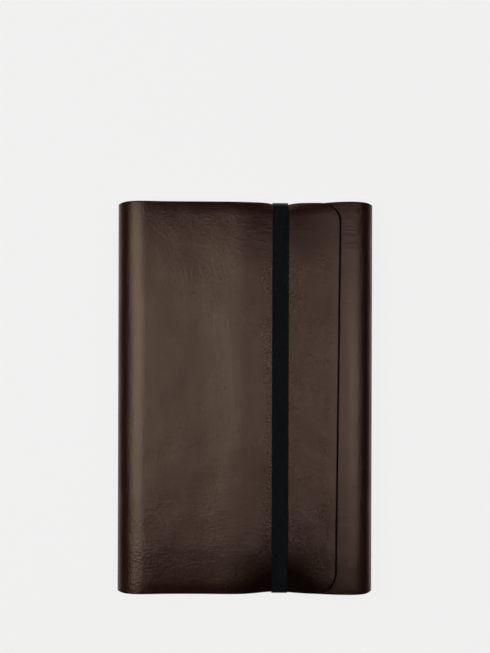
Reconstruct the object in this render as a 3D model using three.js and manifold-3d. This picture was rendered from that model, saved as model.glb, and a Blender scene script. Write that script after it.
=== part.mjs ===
// A wrap-around leather notebook cover, closed round its notebook and held shut by a flat elastic band.
// Millimetres. X runs from the spine (-) to the fore-edge (+), Y up the page, Z up from the back of the
// cover, which lies on the table at Z = 0. The origin is the middle of the footprint.
import * as THREE from "three";
import { mergeVertices, toCreasedNormals } from "three/addons/utils/BufferGeometryUtils.js";
import Module from "manifold-3d";

const wasm = await Module();
wasm.setup();

// Driving dimensions
const COVER_WIDTH = 140;
const COVER_HEIGHT = 217;
const LEATHER = 1.6;
const GAP = 0.3; // left between pieces that touch
const FRONT_EDGE_X = 51.8; // free edge of the front cover
const FRONT_CORNER_R = 12;
const TUCK_EDGE_X = 4; // free edge of the flap tucked under the front cover
const TUCK_CORNER_R = 8;
const SLEEVE = { left: -40, right: 61, thickness: 1.0 };
const NOTEBOOK = { height: 203, right: 61.5, card: 0.6, cornerR: 6, spineX: -58.5, spineBulge: 7 };
const SIGNATURES = { count: 8, thickness: 1.2, gap: 0.3 };
const BAND = { x: 19.4, width: 9, thickness: 0.9, tabLength: 3.5, tabThickness: 0.6, rootTop: 4 };
const ARC_STEPS = 8; // segments in a 45 degree stretch of leather

// Levels of the stack, each the underside of its layer
const backCardZ = LEATHER + GAP;
const sleeveZ = backCardZ + NOTEBOOK.card + GAP;
const pagesZ = sleeveZ + SLEEVE.thickness + GAP;
const signaturePitch = SIGNATURES.thickness + SIGNATURES.gap;
const frontCardZ = pagesZ + SIGNATURES.count * signaturePitch;
const tuckZ = frontCardZ + NOTEBOOK.card + GAP;
const frontZ = tuckZ + LEATHER + GAP;
const bandZ = frontZ + LEATHER + GAP;

// The leather turns up at each side in a half circle: the left one ends in the front cover, the right
// one in the tuck flap, one leather lower.
const halfWidth = COVER_WIDTH / 2;
const spineR = (frontZ + LEATHER) / 2;
const foreR = (tuckZ + LEATHER) / 2;
const spineCentre = { x: -halfWidth + spineR, z: spineR };
const foreCentre = { x: halfWidth - foreR, z: foreR };

const EIGHTH = Math.PI / 4;
const group = new THREE.Group();

function material(colour, roughness) {
  return new THREE.MeshStandardMaterial({ color: colour, roughness, metalness: 0 });
}

const leather = () => material(0x42362e, 0.45);
const innerLeather = () => material(0x54402f, 0.75);
const elastic = () => material(0x0b0c0e, 0.9);
const card = () => material(0x9a8466, 0.85);
const paper = () => material(0xe9e1cd, 0.95);

function add(name, geometry, itsMaterial) {
  const mesh = new THREE.Mesh(geometry, itsMaterial);
  mesh.name = name;
  group.add(mesh);
  return mesh;
}

// A mesh's geometry as a manifold-3d solid, with the mesh's own matrix applied.
function solidOf(mesh) {
  mesh.updateMatrix();
  const source = mesh.geometry.index ? mesh.geometry.toNonIndexed() : mesh.geometry.clone();
  source.deleteAttribute("normal");
  source.deleteAttribute("uv");
  source.applyMatrix4(mesh.matrix);
  const merged = mergeVertices(source, 1e-3);
  return new wasm.Manifold(
    new wasm.Mesh({
      numProp: 3,
      vertProperties: merged.attributes.position.array,
      triVerts: new Uint32Array(merged.index.array),
    }),
  );
}

function geometryOf(solid) {
  const { vertProperties, triVerts } = solid.getMesh();
  const geometry = new THREE.BufferGeometry();
  geometry.setAttribute("position", new THREE.BufferAttribute(vertProperties, 3));
  geometry.setIndex(new THREE.BufferAttribute(triVerts, 1));
  return toCreasedNormals(geometry, EIGHTH / 2);
}

// A closed XZ profile, drawn as (x, z), swept along Y about the middle of the page.
function sweptMesh(shape, length) {
  const geometry = new THREE.ExtrudeGeometry(shape, {
    depth: length,
    bevelEnabled: false,
    curveSegments: ARC_STEPS,
  });
  const mesh = new THREE.Mesh(geometry);
  mesh.rotation.x = Math.PI / 2;
  mesh.position.y = length / 2;
  return mesh;
}

// An XY outline with its own corner radius at the left and at the right.
function sheetOutline(left, right, height, leftR, rightR) {
  const top = height / 2;
  const shape = new THREE.Shape();
  shape.moveTo(left + leftR, -top);
  shape.lineTo(right - rightR, -top);
  if (rightR) shape.absarc(right - rightR, -top + rightR, rightR, -Math.PI / 2, 0);
  shape.lineTo(right, top - rightR);
  if (rightR) shape.absarc(right - rightR, top - rightR, rightR, 0, Math.PI / 2);
  shape.lineTo(left + leftR, top);
  if (leftR) shape.absarc(left + leftR, top - leftR, leftR, Math.PI / 2, Math.PI);
  shape.lineTo(left, -top + leftR);
  if (leftR) shape.absarc(left + leftR, -top + leftR, leftR, Math.PI, 1.5 * Math.PI);
  return shape;
}

// A swept piece trimmed to an XY outline.
function cutToOutline(mesh, outline) {
  const cutter = solidOf(new THREE.Mesh(sheetGeometry(outline, bandZ)));
  return geometryOf(solidOf(mesh).intersect(cutter));
}

function sheetGeometry(shape, thickness) {
  return new THREE.ExtrudeGeometry(shape, {
    depth: thickness,
    bevelEnabled: false,
    curveSegments: ARC_STEPS,
  });
}

// A band of leather between two angles of a half circle, counted anticlockwise from +X. Each end stops
// half a gap short of its angle, so that the next piece can turn.
function arcShape(centre, outerR, from, to, trimFrom, trimTo) {
  const trim = GAP / 2 / outerR;
  const a = from + (trimFrom ? trim : 0);
  const b = to - (trimTo ? trim : 0);
  const shape = new THREE.Shape();
  shape.absarc(centre.x, centre.z, outerR, a, b, false);
  shape.absarc(centre.x, centre.z, outerR - LEATHER, b, a, true);
  shape.closePath();
  return shape;
}

function backPanel() {
  const trimSpine = GAP / 2 / spineR;
  const trimFore = GAP / 2 / foreR;
  const shape = new THREE.Shape();
  shape.absarc(foreCentre.x, foreR, foreR, -2 * EIGHTH, -EIGHTH - trimFore, false);
  shape.absarc(foreCentre.x, foreR, foreR - LEATHER, -EIGHTH - trimFore, -2 * EIGHTH, true);
  shape.absarc(spineCentre.x, spineR, spineR - LEATHER, -2 * EIGHTH, -3 * EIGHTH + trimSpine, true);
  shape.absarc(spineCentre.x, spineR, spineR, -3 * EIGHTH + trimSpine, -2 * EIGHTH, false);
  shape.closePath();
  const mesh = sweptMesh(shape, COVER_HEIGHT);
  mesh.name = "back_panel";
  mesh.material = leather();
  group.add(mesh);
}

// The two strips of leather that turn between a pair of folds.
function foldStrip(name, centre, outerR, middleAngle) {
  const from = middleAngle - EIGHTH;
  const to = middleAngle + EIGHTH;
  const mesh = sweptMesh(arcShape(centre, outerR, from, to, true, true), COVER_HEIGHT);
  mesh.name = name;
  mesh.material = leather();
  group.add(mesh);
}

// A cover that lies flat on the stack and bends down into its fold, cut to an outline with round corners.
function bentCover(name, centre, outerR, edgeX, cornerR) {
  const side = Math.sign(centre.x);
  const trim = GAP / 2 / outerR;
  const top = 2 * EIGHTH;
  const fold = top - side * (EIGHTH - trim);
  const shape = new THREE.Shape();
  shape.moveTo(edgeX, 2 * outerR);
  shape.absarc(centre.x, outerR, outerR, top, fold, side > 0);
  shape.absarc(centre.x, outerR, outerR - LEATHER, fold, top, side < 0);
  shape.lineTo(edgeX, 2 * outerR - LEATHER);
  shape.closePath();
  const bent = sweptMesh(shape, COVER_HEIGHT);
  const past = side * (halfWidth + LEATHER);
  const outline =
    side > 0
      ? sheetOutline(edgeX, past, COVER_HEIGHT, cornerR, 0)
      : sheetOutline(past, edgeX, COVER_HEIGHT, 0, cornerR);
  add(name, cutToOutline(bent, outline), leather());
}

// The inner sleeve is a flat pocket for the notebook's back card, open towards the spine.
function backSleeve() {
  const { left, right, thickness } = SLEEVE;
  const shape = sheetOutline(left, right, COVER_HEIGHT, 0, 0);
  add("back_sleeve", sheetGeometry(shape, thickness), innerLeather()).position.z = sleeveZ;
}

function notebookCard(name, z) {
  const left = NOTEBOOK.spineX + GAP;
  const shape = sheetOutline(left, NOTEBOOK.right - 0.6, NOTEBOOK.height, 0, NOTEBOOK.cornerR);
  add(name, sheetGeometry(shape, NOTEBOOK.card), card()).position.z = z;
}

const spineMiddleZ = (backCardZ + frontCardZ + NOTEBOOK.card) / 2;
const spineHalfZ = spineMiddleZ - backCardZ;

// The notebook's rounded cloth spine, half an ellipse from card to card.
function notebookSpine() {
  const { spineX, spineBulge, card: thickness, height } = NOTEBOOK;
  const shape = new THREE.Shape();
  shape.absellipse(spineX, spineMiddleZ, spineBulge, spineHalfZ, Math.PI / 2, 1.5 * Math.PI, false);
  shape.absellipse(
    spineX,
    spineMiddleZ,
    spineBulge - thickness,
    spineHalfZ - thickness,
    1.5 * Math.PI,
    Math.PI / 2,
    true,
  );
  shape.closePath();
  const mesh = sweptMesh(shape, height);
  mesh.name = "notebook_spine";
  mesh.material = material(0x2a2320, 0.9);
  group.add(mesh);
}

// One sewn section of the page block: a folded bundle of sheets, round at the fold and with round
// corners at the fore-edge.
function signature(number) {
  const { thickness } = SIGNATURES;
  const z = pagesZ + (number - 1) * signaturePitch + thickness / 2;
  const insideX = NOTEBOOK.spineBulge - NOTEBOOK.card - GAP;
  const insideZ = spineHalfZ - NOTEBOOK.card;
  const reach = (Math.abs(z - spineMiddleZ) + thickness / 2) / insideZ;
  const foldX = NOTEBOOK.spineX - insideX * Math.sqrt(1 - reach * reach) + thickness / 2;
  const shape = new THREE.Shape();
  shape.moveTo(foldX, z - thickness / 2);
  shape.lineTo(NOTEBOOK.right, z - thickness / 2);
  shape.lineTo(NOTEBOOK.right, z + thickness / 2);
  shape.lineTo(foldX, z + thickness / 2);
  shape.absarc(foldX, z, thickness / 2, Math.PI / 2, 1.5 * Math.PI, false);
  const height = NOTEBOOK.height - 2 * GAP;
  const outline = sheetOutline(-halfWidth, NOTEBOOK.right, height, 0, NOTEBOOK.cornerR);
  add(`signature_${number}`, cutToOutline(sweptMesh(shape, height), outline), paper());
}

function box(name, low, high, itsMaterial) {
  const size = high.map((value, k) => value - low[k]);
  const middle = high.map((value, k) => (value + low[k]) / 2);
  add(name, new THREE.BoxGeometry(...size), itsMaterial).position.set(...middle);
}

// A band end is a flat tab caught between the back and the sleeve, and turned up outside them.
function bandTab(name, sign) {
  const { x, width, tabLength, tabThickness, thickness, rootTop } = BAND;
  const caught = sign * (COVER_HEIGHT / 2 - tabLength);
  const inside = sign * (COVER_HEIGHT / 2 + GAP);
  const outside = inside + sign * thickness;
  const shape = new THREE.Shape();
  shape.moveTo(caught, backCardZ);
  shape.lineTo(outside, backCardZ);
  shape.lineTo(outside, rootTop);
  shape.lineTo(inside, rootTop);
  shape.lineTo(inside, backCardZ + tabThickness);
  shape.lineTo(caught, backCardZ + tabThickness);
  shape.closePath();
  const mesh = add(name, sheetGeometry(shape, width), elastic());
  const alongY = new THREE.Vector3(0, 1, 0);
  const alongZ = new THREE.Vector3(0, 0, 1);
  const alongX = new THREE.Vector3(1, 0, 0);
  mesh.quaternion.setFromRotationMatrix(new THREE.Matrix4().makeBasis(alongY, alongZ, alongX));
  mesh.position.x = x - width / 2;
}

// The band: a run across the front, a run down each end, and the two tabs that hold it.
function band() {
  const { x, width, thickness, rootTop } = BAND;
  const left = x - width / 2;
  const right = x + width / 2;
  const inside = COVER_HEIGHT / 2 + GAP;
  const outside = inside + thickness;
  const sideBottom = rootTop + GAP;
  const sideTop = bandZ - GAP;
  box("band_front", [left, -outside, bandZ], [right, outside, bandZ + thickness], elastic());
  box("band_top_side", [left, inside, sideBottom], [right, outside, sideTop], elastic());
  box("band_bottom_side", [left, -outside, sideBottom], [right, -inside, sideTop], elastic());
  bandTab("band_top_tab", 1);
  bandTab("band_bottom_tab", -1);
}

backPanel();
foldStrip("spine_wrap", spineCentre, spineR, Math.PI);
foldStrip("fore_edge_wrap", foreCentre, foreR, 0);
bentCover("front_cover", spineCentre, spineR, FRONT_EDGE_X, FRONT_CORNER_R);
bentCover("tuck_flap", foreCentre, foreR, TUCK_EDGE_X, TUCK_CORNER_R);
backSleeve();
notebookCard("notebook_back_card", backCardZ);
notebookCard("notebook_front_card", frontCardZ);
notebookSpine();
for (let number = 1; number <= SIGNATURES.count; number += 1) signature(number);
band();

export default group;
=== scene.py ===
"""A wrap-around leather notebook cover, held shut by a flat elastic band. Metres, +Z out of the front."""
import math

import bpy
import numpy as np
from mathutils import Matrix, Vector


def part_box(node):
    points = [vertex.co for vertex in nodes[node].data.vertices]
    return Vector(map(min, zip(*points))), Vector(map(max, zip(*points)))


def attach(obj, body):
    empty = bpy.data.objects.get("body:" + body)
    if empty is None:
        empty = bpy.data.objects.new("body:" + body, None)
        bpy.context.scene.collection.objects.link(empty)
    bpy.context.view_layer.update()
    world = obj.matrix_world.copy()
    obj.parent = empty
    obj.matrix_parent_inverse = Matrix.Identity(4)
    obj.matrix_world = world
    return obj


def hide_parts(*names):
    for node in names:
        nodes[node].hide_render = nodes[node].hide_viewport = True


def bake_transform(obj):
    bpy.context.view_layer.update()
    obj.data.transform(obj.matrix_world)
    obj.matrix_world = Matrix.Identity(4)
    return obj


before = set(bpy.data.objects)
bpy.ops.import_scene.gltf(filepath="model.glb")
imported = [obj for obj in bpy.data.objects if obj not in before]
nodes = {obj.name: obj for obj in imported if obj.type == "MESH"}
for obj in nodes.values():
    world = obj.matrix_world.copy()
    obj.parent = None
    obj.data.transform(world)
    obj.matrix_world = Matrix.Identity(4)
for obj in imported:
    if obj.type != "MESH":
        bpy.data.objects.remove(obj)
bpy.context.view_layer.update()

MM = 0.001

# ---------------------------------------------------------------- sizes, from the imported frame
_, front_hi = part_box("front_cover")
flap_lo, flap_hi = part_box("tuck_flap")
_, card_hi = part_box("notebook_front_card")
band_lo, band_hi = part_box("band_front")
side_lo, side_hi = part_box("band_top_side")
tab_lo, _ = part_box("band_top_tab")
sleeve_lo, sleeve_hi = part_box("back_sleeve")
HALF_H = front_hi.y
SWELL = 0.75 * MM  # how far the real bends stand out past the plain arcs
LEFT_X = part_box("spine_wrap")[0].x - SWELL
RIGHT_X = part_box("fore_edge_wrap")[1].x + SWELL
LEATHER = 1.6 * MM
HEAD_FOOT_EDGE_LESS_DARK = 1.1 * MM  # the head and foot edges get a narrower dark edge than the free edge, whose dark line is partly painted shadow on the flap, by this much
EDGE_R = 0.6 * MM  # rounding of a cut leather edge
SPINE_BEND = 16 * MM  # how far in from each side the leather starts to bend
FORE_BEND = 15 * MM
FRONT_SKEW = 0.010  # the front cover is cut a little out of square
BAND_X = (band_lo.x + band_hi.x) / 2
BAND_X_MM = BAND_X / MM
BACK_SHORTER = 0.9 * MM  # how far the back stops short at the head and foot, clear of the band's sides
BACK_POINTS, TURN_POINTS, TOP_POINTS = 60, 721, 120  # steps of the leather's outline, for each part of it
NORMAL_STEP = 0.02 * MM
CORNER_STEPS = 20
CORNER_CLEAR = 0.3 * MM  # keeps the last straight column away from the corner's first one
FRONT_CORNER, FLAP_CORNER = 12 * MM, 8 * MM
SKEW_REACH, SKEW_FADE = 40 * MM, 28 * MM  # the skew starts this far from the free edge, and grows over this
CURL_STEPS = 16


def smooth(t):
    t = np.clip(t, 0, 1)
    return t * t * (3 - 2 * t)


def bell(x, centre, width):
    return np.exp(-(((x - centre) / width) ** 2))


# ---------------------------------------------------------------- the leather sheet
def wrap_table(side, bend, top_z, far_x):
    """The leather's outer face in XZ, from the middle of the back, round one side, to far_x on top."""
    start, end = BACK_POINTS - 1, BACK_POINTS + TURN_POINTS - 2  # where the bend starts and ends
    centre = abs(LEFT_X if side < 0 else RIGHT_X) - bend
    half = top_z / 2
    turn = np.linspace(0, math.pi, TURN_POINTS)
    x = np.concatenate([np.linspace(0, centre, BACK_POINTS)[:-1], centre + bend * np.sin(turn)])
    z = np.concatenate([np.zeros(start), half - half * np.cos(turn)])
    nx = np.concatenate([np.zeros(start), half * np.sin(turn)])
    nz = np.concatenate([-np.ones(start), -bend * np.cos(turn)])
    flat = np.linspace(centre, far_x * side, TOP_POINTS)[1:]
    x = side * np.concatenate([x, flat])
    z = np.concatenate([z, np.full(flat.size, top_z)])
    nx = side * np.concatenate([nx, np.zeros(flat.size)])
    nz = np.concatenate([nz, np.ones(flat.size)])
    size = np.hypot(nx, nz)
    u = np.concatenate([[0], np.cumsum(np.hypot(np.diff(x), np.diff(z)))])
    middle = u[start] + (u[end] - u[start]) / 2
    table = {"side": side, "u": u, "x": x, "z": z, "nx": nx / size, "nz": nz / size}
    table.update(middle=middle, bend=u[start], top=u[end])
    return table


LEFT = wrap_table(-1, SPINE_BEND, front_hi.z, front_hi.x + 4 * MM)
RIGHT = wrap_table(1, FORE_BEND, flap_hi.z, flap_lo.x - 4 * MM)


def end_angle(x, y_sign, side):
    """How far the leather's head or foot turns down past the notebook, at each x: most at the band and
    little beside the two round sides, which stay straight."""
    across = x / MM
    free = smooth((across + 62) / 30) * smooth((66 - across) / 14)
    head = 2.4 + 3.2 * free + 9 * bell(across, 24, 30) * free + 14 * bell(across, BAND_X_MM + 1, 7)
    foot = 3 + 6 * free + 22 * bell(across, BAND_X_MM - 2, 13)
    angle = np.radians(np.where(y_sign > 0, head, foot))
    return angle * (0.3 + 0.7 * smooth((50 - across) / 12)) if side > 0 else angle


def drawn_in(x, y_sign, side):
    """How far the band's pull shortens the front, at each x. The tuck flap is cut a little longer."""
    across = x / MM
    head = 0.55 * bell(across, 24, 30) * smooth((60 - across) / 20) + 1.05 * bell(across, BAND_X_MM, 5.5)
    head = head + 0.25 * bell(across, 44, 6) + 0.40 * bell(across, BAND_X_MM, 3.2)
    foot = 0.75 * bell(across, BAND_X_MM - 2, 13) + 0.30 * bell(across, 38, 12)
    if side > 0:
        head, foot = head - 0.05, foot - 0.30
    return np.where(y_sign > 0, head, foot) * MM


def curl(r, angle, start):
    """Along the page and down, for leather that bends from `start` on to `angle` at its end."""
    length = HALF_H - start
    t = (r - start) / length
    inside = np.clip(t, 0, 1.2)
    y = np.zeros_like(r)
    drop = np.zeros_like(r)
    for k in range(CURL_STEPS):
        a = angle * smooth(inside * (k + 0.5) / CURL_STEPS)
        y += np.cos(a) * inside * length / CURL_STEPS
        drop += np.sin(a) * inside * length / CURL_STEPS
    return np.where(t > 0, start + y, r), np.where(t > 0, drop, 0)


def pillow(y, start):
    """0 in the middle of the page and 1 at the notebook's head and foot, where the leather falls away."""
    return np.clip((np.abs(y) - start) / (card_hi.y - start), 0, 1.2) ** 2


def front_rise(x, y):
    """How far the front cover stands off flat. It climbs over the tuck flap, swells beside the band and
    comes down to the flap again at its free edge, and it is bowed like a pillow along the page."""
    across = x / MM
    rise = 1.35 * smooth((across + 27) / 29) - 0.50 * smooth(across / 16)
    rise = rise - 0.70 * smooth((across - 25) / 26) ** 0.85
    at_band = bell(across, BAND_X_MM, 21)
    fall = 1.2 * smooth((across + 64) / 24) - 0.9 * smooth((across - 28) / 23)
    fall = fall * pillow(y, 68 * MM) + 0.30 * at_band * pillow(y, 60 * MM)
    sway = 0.07 * np.sin(across * 0.13 + y / MM * 0.045 + 1.0) * smooth((across + 60) / 12)
    sway = sway + 0.05 * np.sin(across * 0.071 - y / MM * 0.09)
    return (rise - fall + sway) * MM


def flap_rise(x, y):
    """How far the tuck flap stands off flat: most where the front cover hides it."""
    across = x / MM
    hidden = 1 - smooth((across - 30) / 20)
    rise = 0.95 * hidden + 0.12 * smooth((across - 48) / 10)
    return (rise - (0.25 + 0.95 * hidden) * pillow(y, 68 * MM)) * MM


def leather_point(table, rise, curl_start, u, v):
    """The outer face of the leather at sheet coordinates u (round the book) and v (up the page)."""
    x = np.interp(u, table["u"], table["x"])
    z = np.interp(u, table["u"], table["z"])
    nx = np.interp(u, table["u"], table["nx"])
    nz = np.interp(u, table["u"], table["nz"])
    top = smooth(nz * 1.6 - 0.6)
    angle = end_angle(x, v, table["side"]) * top
    y, drop = curl(np.abs(v), angle, curl_start)
    shorter = BACK_SHORTER * (1 - top) + drawn_in(x, v, table["side"]) * top
    y = y - shorter * smooth(np.abs(v) / MM / 40 - 1.7)
    y = y * np.where(v < 0, -1, 1)
    off = rise(x, y) * top - drop
    return np.stack([x + nx * off, y, z + nz * off], -1)


def leather_normal(table, rise, curl_start, u, v):
    def face(at_u, at_v):
        return leather_point(table, rise, curl_start, at_u, at_v)

    du = face(u + NORMAL_STEP, v) - face(u - NORMAL_STEP, v)
    dv = face(u, v + NORMAL_STEP) - face(u, v - NORMAL_STEP)
    n = np.cross(du, dv) * -table["side"]
    return n / np.linalg.norm(n, axis=-1, keepdims=True)


def make_mesh(name, points, faces, smooth_faces=True):
    mesh = bpy.data.meshes.new(name)
    mesh.from_pydata([tuple(p) for p in points], [], faces)
    mesh.validate()
    mesh.polygons.foreach_set("use_smooth", [smooth_faces] * len(mesh.polygons))
    piece = bpy.data.objects.new(name, mesh)
    bpy.context.scene.collection.objects.link(piece)
    return piece


def float_attribute(piece, name, values):
    flat = np.asarray(values, np.float32)
    piece.data.attributes.new(name, "FLOAT", "POINT").data.foreach_set("value", flat)


def vector_attribute(piece, name, values):
    flat = np.asarray(values, np.float32).ravel()
    piece.data.attributes.new(name, "FLOAT_VECTOR", "POINT").data.foreach_set("vector", flat)


def spaced(start, end, step):
    return list(np.linspace(start, end, max(2, int(round(abs(end - start) / step)) + 1)))


def up_the_page():
    """Sheet rows from -1 to 1, closer together where the leather curls."""
    fine = HALF_H - 11 * MM
    rows = spaced(0, fine, 2.4 * MM)[:-1] + spaced(fine, HALF_H - EDGE_R, 0.45 * MM)
    rows = np.array(rows) / (HALF_H - EDGE_R)
    return np.concatenate([-rows[:0:-1], rows])


def leather_sheet(name, table, rise, curl_start, columns, corner_r=0, skew=0):
    """A sheet of leather with thickness and round cut edges. With corner_r, its last column is a free edge
    with round corners, otherwise both side ends are left open where the next sheet joins on."""
    rows = up_the_page()
    u = list(columns)
    inward = [(EDGE_R, 0.0, 1.0)] * len(u)
    if corner_r:
        centre_u = u[-1] - corner_r
        u = [c for c in u if c < centre_u - CORNER_CLEAR]
        inward = [(EDGE_R, 0.0, 1.0)] * len(u)
        for a in np.linspace(0, math.pi / 2, CORNER_STEPS):
            u.append(centre_u + (corner_r - EDGE_R) * math.sin(a))
            inward.append((corner_r - (corner_r - EDGE_R) * math.cos(a), math.sin(a), math.cos(a)))
    u, inward = np.array(u), np.array(inward)
    free_u = columns[-1]
    grid_v = (HALF_H - inward[:, :1]) * rows[None, :]
    grid_u = np.repeat(u[:, None], rows.size, 1)
    edge = HALF_H - np.abs(grid_v) + HEAD_FOOT_EDGE_LESS_DARK
    grid_skew = np.zeros_like(grid_v)
    if corner_r:  # the free edge runs a little out of square, and its corners are round
        grid_skew = smooth((grid_u - (free_u - SKEW_REACH)) / SKEW_FADE) * skew * grid_v
        over_u = np.maximum(grid_u - (free_u - corner_r), 0)
        over_v = np.maximum(np.abs(grid_v) - (HALF_H - corner_r), 0)
        turned = over_v / (over_u + over_v + 1e-9)
        corner = corner_r - np.hypot(over_u, over_v) + HEAD_FOOT_EDGE_LESS_DARK * turned**2
        edge = np.minimum(np.minimum(edge, free_u - grid_u), corner)
    nu, nv = grid_v.shape

    points, sheet, edges, flesh = [], [], [], []

    def add(us, vs, skews, depth, edge_mm, inside):
        normal = leather_normal(table, rise, curl_start, us + skews, vs)
        where = leather_point(table, rise, curl_start, us + skews, vs) - normal * depth
        first = sum(len(p) for p in points)
        points.append(where.reshape(-1, 3))
        coords = np.stack([us, vs, np.full_like(us, depth)], -1)
        sheet.append(coords.reshape(-1, 3))
        edges.append(np.broadcast_to(edge_mm, us.shape).ravel())
        flesh.append(np.full(us.size, inside))
        return np.arange(first, first + us.size).reshape(us.shape)

    outer = add(grid_u, grid_v, grid_skew, 0, edge / MM, 0)
    inner = add(grid_u, grid_v, grid_skew, LEATHER, edge / MM, 1)

    # the boundary, in order: foot, free edge, head
    if corner_r:
        foot = [(i, 0) for i in range(nu)]
        free_edge = [(nu - 1, j) for j in range(1, nv)]
        head = [(i, nv - 1) for i in range(nu - 2, -1, -1)]
        runs = [foot + free_edge + head]
    else:
        runs = [[(i, 0) for i in range(nu)], [(i, nv - 1) for i in range(nu - 1, -1, -1)]]
    faces = []
    for i in range(nu - 1):
        for j in range(nv - 1):
            faces.append((outer[i, j], outer[i + 1, j], outer[i + 1, j + 1], outer[i, j + 1]))
            faces.append((inner[i, j], inner[i, j + 1], inner[i + 1, j + 1], inner[i + 1, j]))
    for run in runs:
        ii = np.array([k[0] for k in run])
        jj = np.array([k[1] for k in run])
        bu, bv = grid_u[ii, jj], grid_v[ii, jj]
        bs = grid_skew[ii, jj]
        ou = inward[ii, 1]
        ov = inward[ii, 2] * np.where(jj < nv // 2, -1, 1)
        if corner_r:
            straight = (ii == nu - 1) & (jj > 0) & (jj < nv - 1)
            ou, ov = np.where(straight, 1, ou), np.where(straight, 0, ov)
        rings = [outer[ii, jj]]
        turns = np.radians([25, 50, 75, 90])
        steps = [(EDGE_R * math.sin(a), EDGE_R * (1 - math.cos(a))) for a in turns]
        steps += [(o, LEATHER - d) for o, d in reversed(steps)]
        for o, d in steps:
            rings.append(add(bu + ou * o, bv + ov * o, bs, d, 0.0, 0))
        rings.append(inner[ii, jj])
        for a, b in zip(rings, rings[1:]):
            for k in range(len(a) - 1):
                faces.append((a[k], b[k], b[k + 1], a[k + 1]))
    if table["side"] > 0:
        faces = [f[::-1] for f in faces]
    piece = make_mesh(name, np.concatenate(points), [tuple(int(q) for q in f) for f in faces])
    vector_attribute(piece, "sheet", np.concatenate(sheet))
    float_attribute(piece, "edge_mm", np.concatenate(edges))
    float_attribute(piece, "flesh", np.concatenate(flesh))
    return piece


def u_at(table, x):
    """Sheet coordinate of a point on the flat top."""
    return table["top"] + abs(x - np.interp(table["top"], table["u"], table["x"]))


BEND_STEP, BACK_STEP, TOP_STEP = 0.4 * MM, 3 * MM, 1.5 * MM  # between columns of the sheet
front_end = u_at(LEFT, front_hi.x)
flap_end = u_at(RIGHT, flap_lo.x)
CURL_START = card_hi.y - 2 * MM


def back_columns(table):
    near, far = table["bend"], table["middle"]
    return spaced(0, near, BACK_STEP)[:-1] + spaced(near, far, BEND_STEP)


band_u = u_at(LEFT, BAND_X)
front_columns = (
    spaced(LEFT["middle"], LEFT["top"], BEND_STEP)[:-1]
    + spaced(LEFT["top"], band_u - 14 * MM, 2 * MM)[:-1]
    + spaced(band_u - 14 * MM, band_u + 20 * MM, 0.8 * MM)[:-1]
    + spaced(band_u + 20 * MM, front_end, TOP_STEP)
)
flap_columns = (
    spaced(RIGHT["middle"], RIGHT["top"], BEND_STEP)[:-1] + spaced(RIGHT["top"], flap_end, TOP_STEP)
)

leather_back_left = leather_sheet(
    "leather_back_left", LEFT, front_rise, CURL_START, back_columns(LEFT)
)
leather_front = leather_sheet(
    "leather_front", LEFT, front_rise, CURL_START, front_columns, corner_r=FRONT_CORNER, skew=FRONT_SKEW
)
leather_back_right = leather_sheet(
    "leather_back_right", RIGHT, flap_rise, CURL_START - MM, back_columns(RIGHT)
)
leather_flap = leather_sheet(
    "leather_flap", RIGHT, flap_rise, CURL_START - MM, flap_columns, corner_r=FLAP_CORNER
)

# ---------------------------------------------------------------- the elastic band
RIBS = 9
RIB_PITCH = (band_hi.x - band_lo.x) / RIBS
RIB_DEPTH = 0.22 * MM
PATH_STEP = 0.1 * MM
PATH_ROUNDING = 0.45 * MM
NARROWING = 0.03  # share of its width that the band loses round the ends, where it is pulled tight
BAND_T = 0.8 * MM
BAND_GAP = 0.1 * MM  # between the band and the leather under it
ROOT_Z = 5.2 * MM  # the height at which the leaning sides of the band would meet its roots


def smoothed(path, sigma):
    """Path resampled evenly and rounded with a Gaussian of width sigma, its ends kept."""
    path = np.asarray(path, float)
    s = np.concatenate([[0], np.cumsum(np.linalg.norm(np.diff(path, axis=0), axis=1))])
    even = np.arange(0, s[-1], PATH_STEP)
    line = np.stack([np.interp(even, s, path[:, k]) for k in range(2)], 1)
    reach = int(3 * sigma / PATH_STEP)
    kernel = np.exp(-0.5 * (np.arange(-reach, reach + 1) * PATH_STEP / sigma) ** 2)
    kernel /= kernel.sum()
    before, after = 2 * line[0] - line[reach:0:-1], 2 * line[-1] - line[-2 : -reach - 2 : -1]
    padded = np.concatenate([before, line, after])
    return np.stack([np.convolve(padded[:, k], kernel, "valid") for k in range(2)], 1)


def band_path(sign):
    """The band's centre line in YZ from the middle of the front over one end to its root in the back."""
    v = np.concatenate([np.arange(0, 96 * MM, 2 * MM), np.arange(96 * MM, HALF_H - 0.2 * MM, 0.3 * MM)])
    u = np.full(v.size, band_u)
    on = leather_point(LEFT, front_rise, CURL_START, u, sign * v)
    n = leather_normal(LEFT, front_rise, CURL_START, u, sign * v)
    lay = on + n * (BAND_T / 2 + BAND_GAP)
    points = [(abs(y), z) for x, y, z in lay]
    root_y = (side_lo.y + side_hi.y) / 2 - 0.25 * MM
    slot_z = tab_lo.z + 0.3 * MM
    last_y, last_z = points[-1]
    for share in (0.15, 0.4, 0.7, 0.95):
        points.append((last_y + (root_y - last_y) * share, last_z + (ROOT_Z - last_z) * share))
    points += [(root_y, 4.2 * MM), (root_y, 3.2 * MM), (root_y - 0.3 * MM, slot_z + 0.1 * MM)]
    points += [(root_y - 1.5 * MM, slot_z), (tab_lo.y + 0.2 * MM, slot_z)]
    return smoothed(points, PATH_ROUNDING)


def band_section(count_per_rib=8):
    """Half-thickness offsets across the band: rounded ribs on both faces, and round sides."""
    x = np.linspace(-RIBS / 2, RIBS / 2, RIBS * count_per_rib + 1) * RIB_PITCH
    phase = (x / RIB_PITCH + RIBS / 2) % 1
    rib = np.sqrt(np.clip(1 - (2 * phase - 1) ** 2, 0, 1))
    h = BAND_T / 2 - RIB_DEPTH + RIB_DEPTH * rib
    side = np.clip((np.abs(x) - (RIBS / 2 - 0.5) * RIB_PITCH) / (0.5 * RIB_PITCH), 0, 1)
    h = h * np.sqrt(np.clip(1 - side**3, 0, 1))
    return x, h


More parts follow.
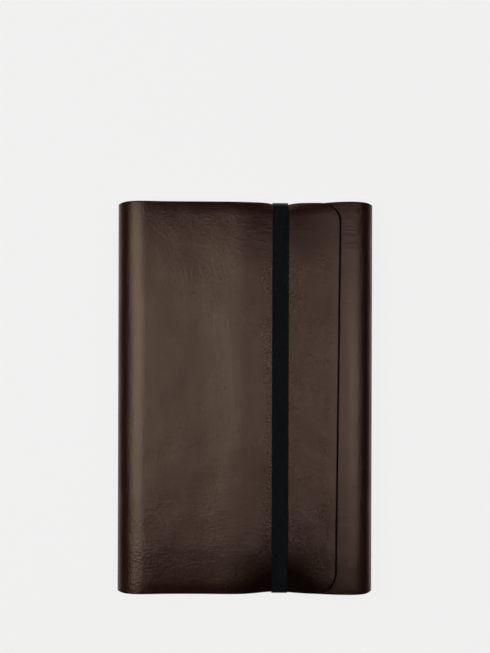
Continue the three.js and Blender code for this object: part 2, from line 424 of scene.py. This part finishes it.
def band_strip(name, path):
    """One run of band swept along a centre line in YZ. path is an (n, 2) array."""
    x, h = band_section()
    tangent = np.gradient(path, axis=0)
    tangent /= np.linalg.norm(tangent, axis=1, keepdims=True)
    normal = np.stack([-tangent[:, 1], tangent[:, 0]], 1)
    ring_x = np.concatenate([x, x[-2:0:-1]]) + BAND_X
    ring_h = np.concatenate([h, -h[-2:0:-1]])
    n, m = len(path), ring_x.size
    y = path[:, None, 0] + normal[:, None, 0] * ring_h[None]
    z = path[:, None, 1] + normal[:, None, 1] * ring_h[None]
    narrowed = 1 - NARROWING * smooth((np.abs(path[:, :1]) / MM - 94) / 12)
    x = BAND_X + (ring_x[None] - BAND_X) * narrowed
    points = np.stack([x, y, z], -1).reshape(-1, 3)
    faces = []
    for i in range(n - 1):
        for j in range(m):
            a, b = i * m + j, i * m + (j + 1) % m
            faces.append((a, b, b + m, a + m))
    faces.append(tuple(range(m - 1, -1, -1)))
    faces.append(tuple(range((n - 1) * m, n * m)))
    piece = make_mesh(name, points, faces)
    s = np.concatenate([[0], np.cumsum(np.linalg.norm(np.diff(path, axis=0), axis=1))])
    along = np.repeat(s, m)
    across = np.tile(ring_x - BAND_X, n)
    vector_attribute(piece, "sheet", np.stack([across, along, np.tile(ring_h, n)], -1))
    return piece


FINE_BELOW = 20 * MM
FRONT_STRIDE, END_STRIDE = 12, 3


def thinned(path):
    """Keeps fewer path points along the flat front than round the ends."""
    keep = [
        k
        for k in range(len(path))
        if k % FRONT_STRIDE == 0 or (path[k][1] < FINE_BELOW and k % END_STRIDE == 0)
    ]
    if keep[-1] != len(path) - 1:
        keep.append(len(path) - 1)
    return path[keep]


STRETCH_TOP = 17.0 * MM  # the band is split here into its run, its sides and its roots
STRETCH_FOOT = 5.4 * MM
ends = {}
for end, sign in (("top", 1), ("bottom", -1)):
    path = thinned(band_path(sign))
    run_end = int(np.argmax(path[:, 1] < STRETCH_TOP))
    side_end = int(np.argmax(path[:, 1] < STRETCH_FOOT))
    path[:, 0] *= sign
    ends[end] = (path[: run_end + 1], path[run_end : side_end + 1], path[side_end:])

run = np.concatenate([ends["bottom"][0][:0:-1], ends["top"][0]])
elastic_run = band_strip("elastic_run", run)
elastic_sides, elastic_roots = {}, {}
for end in ("top", "bottom"):
    side_path, root_path = ends[end][1], ends[end][2]
    if end == "bottom":
        side_path, root_path = side_path[::-1], root_path[::-1]
    elastic_sides[end] = band_strip(f"elastic_{end}_side", side_path)
    elastic_roots[end] = band_strip(f"elastic_{end}_root", root_path)

# ---------------------------------------------------------------- the sleeve and its stitching
def plate(name, x0, x1, half_y, z0, z1, corner, edge_r):
    """A flat sheet with two round corners on the +X side and a rounded rim."""
    outline = []
    for sign in (-1, 1):
        for k in range(9):
            a = math.pi / 2 * (k / 8 if sign > 0 else 1 - k / 8)
            out_x, out_y = corner * math.cos(a), corner * math.sin(a)
            outline.append((x1 - corner + out_x, sign * (half_y - corner + out_y)))
    outline += [(x0, half_y), (x0, -half_y)]
    outline = np.array(outline)
    ahead, behind = np.roll(outline, -1, 0) - outline, outline - np.roll(outline, 1, 0)
    ahead /= np.linalg.norm(ahead, axis=1, keepdims=True)
    behind /= np.linalg.norm(behind, axis=1, keepdims=True)
    out = np.stack([ahead[:, 1] + behind[:, 1], -ahead[:, 0] - behind[:, 0]], 1)
    out /= (out * np.stack([ahead[:, 1], -ahead[:, 0]], 1)).sum(1)[:, None]
    points, faces, n = [], [], len(outline)
    levels = [(math.sin(a), 1 - math.cos(a)) for a in np.radians([0, 30, 60, 90])]
    rings = [(s, z1 - d * edge_r) for s, d in levels]
    rings += [(s, z0 + d * edge_r) for s, d in reversed(levels)]
    for share, z in rings:
        points += [(x, y, z) for x, y in outline + out * edge_r * (share - 1)]
    for k in range(len(rings) - 1):
        for q in range(n):
            a, b = k * n + q, k * n + (q + 1) % n
            faces.append((a, a + n, b + n, b))
    faces.append(tuple(range(n)))
    faces.append(tuple(range(len(points) - 1, len(points) - n - 1, -1)))
    return make_mesh(name, points, faces, smooth_faces=False)


sleeve = plate(
    "sleeve_lining",
    sleeve_lo.x,
    sleeve_hi.x,
    HALF_H - BACK_SHORTER,
    sleeve_lo.z,
    sleeve_hi.z,
    corner=3 * MM,
    edge_r=0.3 * MM,
)

STITCH_PITCH = 3.6 * MM
STITCH_LENGTH = 2.7 * MM
THREAD_R = 0.28 * MM


def stitches(name, runs):
    """Rows of thread lying on a face. Each run is (start, end, up), where up is +1 or -1: the face's Z."""
    points, faces, local = [], [], []
    sides, rings = 8, 9
    for start, end, up in runs:
        start, end = np.array(start, float), np.array(end, float)
        length = np.linalg.norm(end - start)
        along = (end - start) / length
        across = np.cross(along, (0, 0, 1.0))
        count = int(length / STITCH_PITCH)
        for k in range(count):
            middle = start + along * (k + 0.5) * length / count
            first = len(points)
            for r in range(rings):
                t = r / (rings - 1) * 2 - 1
                rise = THREAD_R * (0.75 - 1.5 * t**6)
                radius = THREAD_R * (1 - 0.25 * t**4)
                centre = middle + along * t * STITCH_LENGTH / 2 + np.array([0, 0, up * rise])
                for q in range(sides):
                    a = 2 * math.pi * q / sides
                    around = np.array([0, 0, radius * math.sin(a)])
                    points.append(centre + across * radius * math.cos(a) + around)
                    local.append((t * STITCH_LENGTH / 2, a * radius, k * MM))
            for r in range(rings - 1):
                for q in range(sides):
                    a, b = first + r * sides + q, first + r * sides + (q + 1) % sides
                    faces.append((a, b, b + sides, a + sides))
    piece = make_mesh(name, points, faces)
    vector_attribute(piece, "sheet", local)
    return piece


inset_y = HALF_H - 2.6 * MM
seam_left, seam_end = sleeve_lo.x + 1.5 * MM, 56.5 * MM
SEAM_GAP, TACK = 5.5 * MM, 4.5 * MM  # the seam stops beside the band, whose root is sewn by itself
inside_z, outside_z = sleeve_hi.z, 0.0
seam_runs = []
for z, up in ((inside_z, 1), (outside_z, -1)):
    for y in (inset_y, -inset_y):
        for x0, x1 in (
            (seam_left, BAND_X - SEAM_GAP),
            (BAND_X - TACK, BAND_X + TACK),
            (BAND_X + SEAM_GAP, seam_end),
        ):
            seam_runs.append(((x0, y, z), (x1, y, z), up))
sleeve_stitching = stitches("sleeve_stitching", seam_runs)


# ---------------------------------------------------------------- materials
TO_MM = (1000, 1000, 1000)


class Shade:
    """A material and short calls that add nodes to it."""

    def __init__(self, name):
        self.material = bpy.data.materials.new(name)
        self.material.use_nodes = True
        self.tree = self.material.node_tree
        self.tree.nodes.clear()
        self.shader = self.node("ShaderNodeBsdfPrincipled")
        out = self.node("ShaderNodeOutputMaterial")
        self.tree.links.new(self.shader.outputs[0], out.inputs[0])

    def node(self, kind, **settings):
        made = self.tree.nodes.new(kind)
        for key, value in settings.items():
            setattr(made, key, value)
        return made

    def put(self, socket, value):
        if isinstance(value, bpy.types.NodeSocket):
            self.tree.links.new(value, socket)
        else:
            socket.default_value = value

    def attribute(self, name):
        return self.node("ShaderNodeAttribute", attribute_name=name)

    def sheet_mm(self):
        """The coordinates a piece carries on its sheet, in mm."""
        return self.scaled(self.attribute("sheet").outputs["Vector"], TO_MM)

    def scaled(self, vector, scale):
        made = self.node("ShaderNodeVectorMath", operation="MULTIPLY")
        self.put(made.inputs[0], vector)
        self.put(made.inputs[1], scale)
        return made.outputs[0]

    def noise(self, vector, scale, detail=3.0, roughness=0.55, distortion=0.0):
        made = self.node("ShaderNodeTexNoise")
        self.put(made.inputs["Vector"], vector)
        self.put(made.inputs["Scale"], scale)
        self.put(made.inputs["Detail"], detail)
        self.put(made.inputs["Roughness"], roughness)
        self.put(made.inputs["Distortion"], distortion)
        return made.outputs["Fac"]

    def cells(self, vector, scale, feature="F1"):
        made = self.node("ShaderNodeTexVoronoi", feature=feature)
        self.put(made.inputs["Vector"], vector)
        self.put(made.inputs["Scale"], scale)
        return made.outputs["Distance"]

    def wave(self, vector, scale, distortion=0.0, direction="X", detail=1.0):
        made = self.node("ShaderNodeTexWave", bands_direction=direction)
        self.put(made.inputs["Vector"], vector)
        self.put(made.inputs["Scale"], scale)
        self.put(made.inputs["Distortion"], distortion)
        self.put(made.inputs["Detail"], detail)
        return made.outputs["Fac"]

    def math(self, operation, a, b=0.0, clamp=False):
        made = self.node("ShaderNodeMath", operation=operation, use_clamp=clamp)
        self.put(made.inputs[0], a)
        self.put(made.inputs[1], b)
        return made.outputs[0]

    def remap(self, value, low, high, to_low=0.0, to_high=1.0):
        made = self.node("ShaderNodeMapRange", interpolation_type="SMOOTHSTEP")
        for k, v in enumerate((value, low, high, to_low, to_high)):
            self.put(made.inputs[k], v)
        return made.outputs[0]

    def mix(self, fac, a, b, blend="MIX"):
        made = self.node("ShaderNodeMix", data_type="RGBA", blend_type=blend)
        self.put(made.inputs[0], fac)
        self.put(made.inputs[6], a if isinstance(a, bpy.types.NodeSocket) else (*a, 1))
        self.put(made.inputs[7], b if isinstance(b, bpy.types.NodeSocket) else (*b, 1))
        return made.outputs[2]

    def bump(self, height, strength, distance, below=None):
        made = self.node("ShaderNodeBump")
        self.put(made.inputs["Strength"], strength)
        self.put(made.inputs["Distance"], distance)
        self.put(made.inputs["Height"], height)
        if below is not None:
            self.put(made.inputs["Normal"], below)
        return made.outputs[0]

    def finish(self, **sockets):
        for key, value in sockets.items():
            label = key.replace("_", " ").title().replace("Ior", "IOR")
            self.put(self.shader.inputs[label], value)
        return self.material


def spot(s, where, x, y, width, height):
    """1 inside an ellipse on the sheet, fading to 0 at its edge. Sizes in mm."""
    away = s.node("ShaderNodeVectorMath", operation="SUBTRACT")
    s.put(away.inputs[0], where)
    s.put(away.inputs[1], (x, y, 0))
    size = s.node("ShaderNodeVectorMath", operation="LENGTH")
    s.put(size.inputs[0], s.scaled(away.outputs[0], (1 / width, 1 / height, 0)))
    return s.remap(size.outputs["Value"], 0.0, 1.0, 1.0, 0.0)


def painted_foot_shade(s, where):
    """Painted shade where the front turns down at the band's foot: darker and less shiny, 0 to 1. Fitted to
    the photo.
    """
    return s.math("MULTIPLY", spot(s, where, u_at(LEFT, 21 * MM) / MM, -117, 45, 45), 1.8, clamp=True)


def painted_shade_by_band(s, where):
    """Painted shade beside the band: how much less the leather shines there, out to the free edge. Fitted
    to the photo.
    """
    place = s.node("ShaderNodeSeparateXYZ")
    s.put(place.inputs[0], where)
    across, up = place.outputs[0], place.outputs[1]
    band = band_u / MM
    spine_side = s.remap(across, band - 17, band - 5)
    fore_side = s.remap(across, band + 25, band + 31, 1.0, 0.0)
    track = s.math("MULTIPLY", spine_side, fore_side)
    return s.math("MULTIPLY", track, s.remap(up, 60, 95, 0.20, 0.0))


def creases(s, where):
    """Fine creases in the front: slanting ones by the band's head end, level ones by the lower corner."""
    broken = s.remap(s.noise(where, 0.35, 2, 0.5), 0.42, 0.6)
    by_band = spot(s, where, u_at(LEFT, 32 * MM) / MM, 96, 14, 13)
    slanting = s.math("MULTIPLY", s.wave(where, 0.2, 4.5, "DIAGONAL", 2.0), broken)
    by_corner = spot(s, where, u_at(LEFT, 43 * MM) / MM, -95, 14, 12)
    level = s.math("MULTIPLY", s.wave(where, 0.17, 9.0, "Y", 3.0), broken)
    return s.math("MULTIPLY", by_band, slanting), s.math("MULTIPLY", by_corner, level)


HIDE_DARK, HIDE_LIGHT = (0.0155, 0.0048, 0.0036), (0.0205, 0.0069, 0.0052)
# the last of these is painted shade, for where the front turns down at the band's foot
# the middle one is the dark edge paint, which along the free edge also stands for painted shadow on the
# flap
SPECKS, EDGE_PAINT_AND_SHADOW, FOOT_SHADE_COLOUR = (0.0085, 0.0028, 0.0021), (0.0022, 0.0014, 0.0014), (0.0030, 0.0013, 0.0011)
SUEDE_DARK, SUEDE_LIGHT = (0.060, 0.033, 0.020), (0.105, 0.062, 0.040)
REFLECTION_TINT = (1.0, 0.715, 0.54, 1)  # fitted to the photo's reddish highlights


def cover_leather(name, seed):
    s = Shade(name)
    where = s.sheet_mm()
    shift = s.node("ShaderNodeVectorMath", operation="ADD")
    s.put(shift.inputs[0], where)
    s.put(shift.inputs[1], (seed, 0.7 * seed, 0))
    mm = shift.outputs[0]
    cloud = s.noise(mm, 0.05, 4, 0.55)
    blotch = s.noise(s.scaled(mm, (1, 0.7, 1)), 0.22, 4, 0.6)
    streak = s.noise(s.scaled(mm, (1, 0.45, 1)), 0.7, 4, 0.65)
    tone = s.math("ADD", s.math("MULTIPLY", cloud, 0.55), s.math("MULTIPLY", blotch, 0.20))
    tone = s.math("ADD", tone, s.math("MULTIPLY", streak, 0.25))
    tone = s.remap(tone, 0.36, 0.64)
    hide = s.mix(tone, HIDE_DARK, HIDE_LIGHT)
    pores = s.cells(s.scaled(mm, (0.85, 1, 1)), 1.25, "SMOOTH_F1")
    fine = s.noise(mm, 2.6, 3, 0.65)
    speck = s.noise(s.scaled(mm, (1, 0.8, 1)), 1.25, 3, 0.75)
    grain = s.math("ADD", s.math("MULTIPLY", pores, 0.55), s.math("MULTIPLY", fine, 0.45))
    hide = s.mix(s.remap(speck, 0.32, 0.68, 0.5, 0.0), hide, SPECKS)
    edge = s.attribute("edge_mm").outputs["Fac"]
    # dark edge paint on the cut edges; the free edge's wider dark band and lost shine are partly painted
    # shadow of its gap over the flap
    edge_paint_and_shadow = s.remap(edge, 0.6, 1.7)
    hide = s.mix(edge_paint_and_shadow, EDGE_PAINT_AND_SHADOW, hide)
    shine = s.math("MULTIPLY", s.remap(edge, 0.7, 1.6, 0.02, 0.5), s.remap(speck, 0.32, 0.68, 0.93, 1.07))
    # painted shade at the band's foot: less shine and a darker colour there
    foot_shade_mask = s.math("MULTIPLY", painted_foot_shade(s, where), s.remap(cloud, 0.3, 0.6, 0.9, 1.0))
    shine = s.math("MULTIPLY", shine, s.math("SUBTRACT", 1.0, foot_shade_mask))
    # painted shade beside the band, as less shine
    shine = s.math("MULTIPLY", shine, s.math("SUBTRACT", 1.0, painted_shade_by_band(s, where)))
    hide = s.mix(s.math("MULTIPLY", foot_shade_mask, 0.8), hide, FOOT_SHADE_COLOUR)
    flesh = s.remap(s.attribute("flesh").outputs["Fac"], 0.45, 0.75)
    nap = s.noise(mm, 1.1, 5, 0.7)
    suede = s.mix(nap, SUEDE_DARK, SUEDE_LIGHT)
    colour = s.mix(flesh, hide, suede)

    ripple = s.noise(s.scaled(mm, (1, 0.6, 1)), 0.30, 4, 0.6)
    sway = s.noise(s.scaled(mm, (1, 0.8, 1)), 0.055, 1, 0.4)
    normal = s.bump(sway, 0.35, 1.5 * MM)
    normal = s.bump(ripple, 0.3, 0.11 * MM, normal)
    for height in creases(s, where):
        normal = s.bump(height, 0.35, 0.16 * MM, normal)
    normal = s.bump(grain, 1.0, 0.17 * MM, normal)
    rough = s.math("ADD", 0.20, s.math("MULTIPLY", streak, 0.06))
    rough = s.math("ADD", rough, s.math("MULTIPLY", foot_shade_mask, 0.15))
    rough = s.math("ADD", rough, s.math("MULTIPLY", flesh, 0.45), clamp=True)
    return s.finish(
        base_color=colour,
        roughness=rough,
        specular_ior_level=shine,
        specular_tint=REFLECTION_TINT,
        normal=normal,
    )


def elastic_material():
    s = Shade("ribbed_elastic")
    mm = s.sheet_mm()
    threads = s.wave(mm, 0.36, 1.2, "Y")
    fuzz = s.noise(s.scaled(mm, (1.6, 1, 1)), 1.3, 4, 0.85)
    fuzz = s.remap(fuzz, 0.32, 0.68)
    ribs = s.wave(mm, math.pi / 10 / (RIB_PITCH / MM), 0.0, "X")
    colour = s.mix(threads, (0.0004, 0.0005, 0.0009), (0.0024, 0.0027, 0.0036))
    colour = s.mix(s.math("MULTIPLY", ribs, 0.6), colour, (0.0030, 0.0034, 0.0044))
    colour = s.mix(s.math("MULTIPLY", s.math("POWER", fuzz, 2.0), 0.6), colour, (0.0200, 0.0215, 0.0250))
    normal = s.bump(threads, 0.35, 0.06 * MM)
    normal = s.bump(fuzz, 0.3, 0.05 * MM, normal)
    rough = s.remap(fuzz, 0.0, 1.0, 0.6, 0.85)
    return s.finish(base_color=colour, roughness=rough, specular_ior_level=0.05, normal=normal)


def rest_coords(s):
    """A node's own coordinates in mm. CAD nodes ride rigidly, so these stay put on them."""
    return s.scaled(s.node("ShaderNodeTexCoord").outputs["Object"], TO_MM)


def thread_material():
    s = Shade("waxed_thread")
    mm = s.sheet_mm()
    twist = s.wave(s.scaled(mm, (1, 2.2, 1)), 1.3, 0.3, "DIAGONAL")
    colour = s.mix(twist, (0.022, 0.012, 0.009), (0.060, 0.036, 0.026))
    rough = s.remap(twist, 0, 1, 0.6, 0.4)
    return s.finish(base_color=colour, roughness=rough, normal=s.bump(twist, 0.6, 0.06 * MM))


def lining_leather():
    s = Shade("lining_leather")
    mm = rest_coords(s)
    nap = s.noise(mm, 0.9, 5, 0.7)
    cloud = s.noise(mm, 0.06, 3, 0.5)
    pores = s.cells(mm, 1.7, "SMOOTH_F1")
    colour = s.mix(nap, (0.050, 0.027, 0.016), (0.085, 0.049, 0.031))
    colour = s.mix(s.math("MULTIPLY", cloud, 0.5), colour, (0.040, 0.022, 0.014))
    rough = s.remap(nap, 0.3, 0.7, 0.7, 0.9)
    return s.finish(base_color=colour, roughness=rough, normal=s.bump(pores, 0.3, 0.08 * MM))


def card_material():
    s = Shade("kraft_card")
    mm = rest_coords(s)
    fibre = s.noise(s.scaled(mm, (1, 0.3, 1)), 1.4, 5, 0.7)
    flecks = s.remap(s.cells(mm, 0.55), 0.05, 0.16)
    cloud = s.noise(mm, 0.04, 3, 0.5)
    colour = s.mix(fibre, (0.27, 0.185, 0.105), (0.38, 0.275, 0.165))
    colour = s.mix(s.math("MULTIPLY", cloud, 0.35), colour, (0.24, 0.165, 0.095))
    colour = s.mix(s.remap(flecks, 0, 1, 0.35, 0.0), colour, (0.12, 0.075, 0.04))
    rough = s.remap(fibre, 0.3, 0.7, 0.78, 0.92)
    return s.finish(base_color=colour, roughness=rough, normal=s.bump(fibre, 0.25, 0.06 * MM))


def cloth_material():
    s = Shade("bookbinding_cloth")
    mm = rest_coords(s)
    warp = s.wave(mm, 0.62, 0.3, "Y")
    weft = s.wave(mm, 0.62, 0.3, "Z")
    weave = s.math("MULTIPLY", warp, weft)
    colour = s.mix(weave, (0.010, 0.007, 0.006), (0.034, 0.024, 0.019))
    rough = s.remap(weave, 0, 1, 0.75, 0.9)
    return s.finish(base_color=colour, roughness=rough, normal=s.bump(weave, 0.5, 0.1 * MM))


def paper_material():
    s = Shade("cream_paper")
    mm = rest_coords(s)
    leaves = s.wave(s.scaled(mm, (0.01, 0.01, 1)), 2.6, 0.8, "Z", 2.0)
    tooth = s.noise(mm, 2.2, 4, 0.7)
    age = s.noise(mm, 0.05, 3, 0.5)
    colour = s.mix(leaves, (0.52, 0.46, 0.35), (0.80, 0.74, 0.61))
    colour = s.mix(s.math("MULTIPLY", age, 0.3), colour, (0.60, 0.50, 0.36))
    normal = s.bump(leaves, 0.5, 0.06 * MM)
    rough = s.remap(tooth, 0.3, 0.7, 0.85, 0.96)
    return s.finish(base_color=colour, roughness=rough, normal=s.bump(tooth, 0.15, 0.03 * MM, normal))


def dress(piece, material):
    piece.data.materials.clear()
    piece.data.materials.append(material)


leather_left = cover_leather("cover_leather_left", 0)
leather_right = cover_leather("cover_leather_right", 311)
for piece in (leather_back_left, leather_front):
    dress(piece, leather_left)
for piece in (leather_back_right, leather_flap):
    dress(piece, leather_right)
elastic = elastic_material()
for piece in (elastic_run, *elastic_sides.values(), *elastic_roots.values()):
    dress(piece, elastic)
dress(sleeve_stitching, thread_material())

dress(sleeve, lining_leather())
finishes = {
    "notebook_back_card": card_material(),
    "notebook_spine": cloth_material(),
    "signature_1": paper_material(),
}
finishes["notebook_front_card"] = finishes["notebook_back_card"]
for number in range(2, 9):
    finishes[f"signature_{number}"] = finishes["signature_1"]
for name, material in finishes.items():
    for one in nodes[name].material_slots:
        one.material = material

# ---------------------------------------------------------------- what moves with what
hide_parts("back_panel", "spine_wrap")
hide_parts("front_cover")
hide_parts("fore_edge_wrap")
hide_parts("tuck_flap")
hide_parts("back_sleeve")
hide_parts("band_front")
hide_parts("band_top_side")
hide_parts("band_bottom_side")
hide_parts("band_top_tab")
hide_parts("band_bottom_tab")

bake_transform(leather_back_left)
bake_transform(leather_front)
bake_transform(leather_back_right)
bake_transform(leather_flap)
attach(elastic_run, "band_run")
for end, sign in (("top", 1), ("bottom", -1)):
    y = sign * side_hi.y
    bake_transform(elastic_sides[end])
    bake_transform(elastic_roots[end])
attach(sleeve_stitching, "back")
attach(sleeve, "back")

# ---------------------------------------------------------------- floor, light and camera
def stage_piece(name, piece, material):
    """Part of the studio. Its glow isn't mirrored in the leather, which sees the dimmer room instead."""
    piece.name = name
    piece.data.materials.append(material)
    piece.visible_glossy = False


GROUND_GLOW = 0.84
GROUND_MATT = (0.05, 0.05, 0.05, 1)  # takes a faint shadow
FLOOR_Z = -0.3 * MM
ground = bpy.data.materials.new("pale_studio")
ground.use_nodes = True
tree = ground.node_tree
tree.nodes.clear()
glow = tree.nodes.new("ShaderNodeEmission")
glow.inputs[0].default_value = (1, 0.997, 0.994, 1)
glow.inputs[1].default_value = GROUND_GLOW
matt = tree.nodes.new("ShaderNodeBsdfDiffuse")
matt.inputs[0].default_value = GROUND_MATT
both = tree.nodes.new("ShaderNodeAddShader")
out = tree.nodes.new("ShaderNodeOutputMaterial")
tree.links.new(glow.outputs[0], both.inputs[0])
tree.links.new(matt.outputs[0], both.inputs[1])
tree.links.new(both.outputs[0], out.inputs[0])
bpy.ops.mesh.primitive_plane_add(size=12, location=(0, 0, FLOOR_Z))
stage_piece("floor", bpy.context.object, ground)
bpy.ops.mesh.primitive_cylinder_add(
    vertices=96, radius=5.5, depth=8, end_fill_type="NOTHING", location=(0, 0, 3.9)
)
stage_piece("backdrop", bpy.context.object, ground)
bpy.data.objects["backdrop"].visible_diffuse = False

world = bpy.data.worlds.new("studio")
bpy.context.scene.world = world
world.use_nodes = True
room = world.node_tree
direction = room.nodes.new("ShaderNodeTexCoord")
height = room.nodes.new("ShaderNodeSeparateXYZ")
below = room.nodes.new("ShaderNodeMapRange")
room.links.new(direction.outputs["Generated"], height.inputs[0])
room.links.new(height.outputs[2], below.inputs[0])
# the room brightens downwards, from just above the horizon (the Z of a direction) to well below it
ROOM_LOW, ROOM_HORIZON = -0.45, 0.02
ROOM_GLOW, ROOM_DIM = 0.9, 0.008
for k, v in enumerate((ROOM_LOW, ROOM_HORIZON, ROOM_GLOW, ROOM_DIM)):
    below.inputs[k + 1].default_value = v
room.nodes["Background"].inputs[0].default_value = (1, 0.97, 0.94, 1)
room.links.new(below.outputs[0], room.nodes["Background"].inputs[1])


def area_light(name, place, target, width, length, watts):
    data = bpy.data.lights.new(name, "AREA")
    data.shape = "RECTANGLE"
    data.size, data.size_y, data.energy = width, length, watts
    light = bpy.data.objects.new(name, data)
    bpy.context.scene.collection.objects.link(light)
    light.location = place
    aim = Vector(target) - light.location
    light.rotation_euler = aim.to_track_quat("-Z", "Y").to_euler()


def softbox(name, angle, distance, y, width, length, watts):
    """An area light leaning `angle` degrees off the vertical, towards +X, aimed at the cover."""
    a = math.radians(angle)
    place = (distance * math.sin(a), y, distance * math.cos(a))
    area_light(name, place, (0, y * 0.6, 0), width, length, watts)


softbox("softbox_left", -29.2, 0.95, 0.07, 0.54, 0.62, 4.5)
softbox("softbox_right", 24, 0.95, 0.02, 0.165, 0.64, 2.05)
softbox("softbox_over", -5.6, 1.25, 0.11, 0.46, 0.68, 0.30)
area_light("fill_head", (0, 1.25, 0.5), (0, 0, 0), 1.7, 0.4, 3.0)
area_light("fill_foot", (0.2, -1.35, 0.34), (0, 0, 0), 1.7, 0.4, 1.6)

IMAGE_H = 653  # pixels
PHOTO_SCALE = 0.5527 * MM  # metres a pixel covers at the height of the front cover
CAMERA_UP = 0.79  # above the front cover
CAMERA_TILT = 0.17  # degrees the cover is turned in the photo
CAMERA_SHIFT = 71.3  # pixels the cover lies below the middle of the photo
SENSOR = 36
LENS_FIT = 1.0045  # a correction from comparing the render with the photo
camera_data = bpy.data.cameras.new("camera")
camera = bpy.data.objects.new("camera", camera_data)
bpy.context.scene.collection.objects.link(camera)
bpy.context.scene.camera = camera
camera.location = (0, 0, front_hi.z + CAMERA_UP)
camera.rotation_euler = (0, 0, math.radians(CAMERA_TILT))
camera_data.sensor_width = SENSOR
camera_data.lens = SENSOR * LENS_FIT * CAMERA_UP / (IMAGE_H * PHOTO_SCALE)
camera_data.shift_y = CAMERA_SHIFT / IMAGE_H
camera_data.clip_start = 0.01

scene = bpy.context.scene
scene.view_settings.view_transform = "Standard"
scene.view_settings.look = "None"
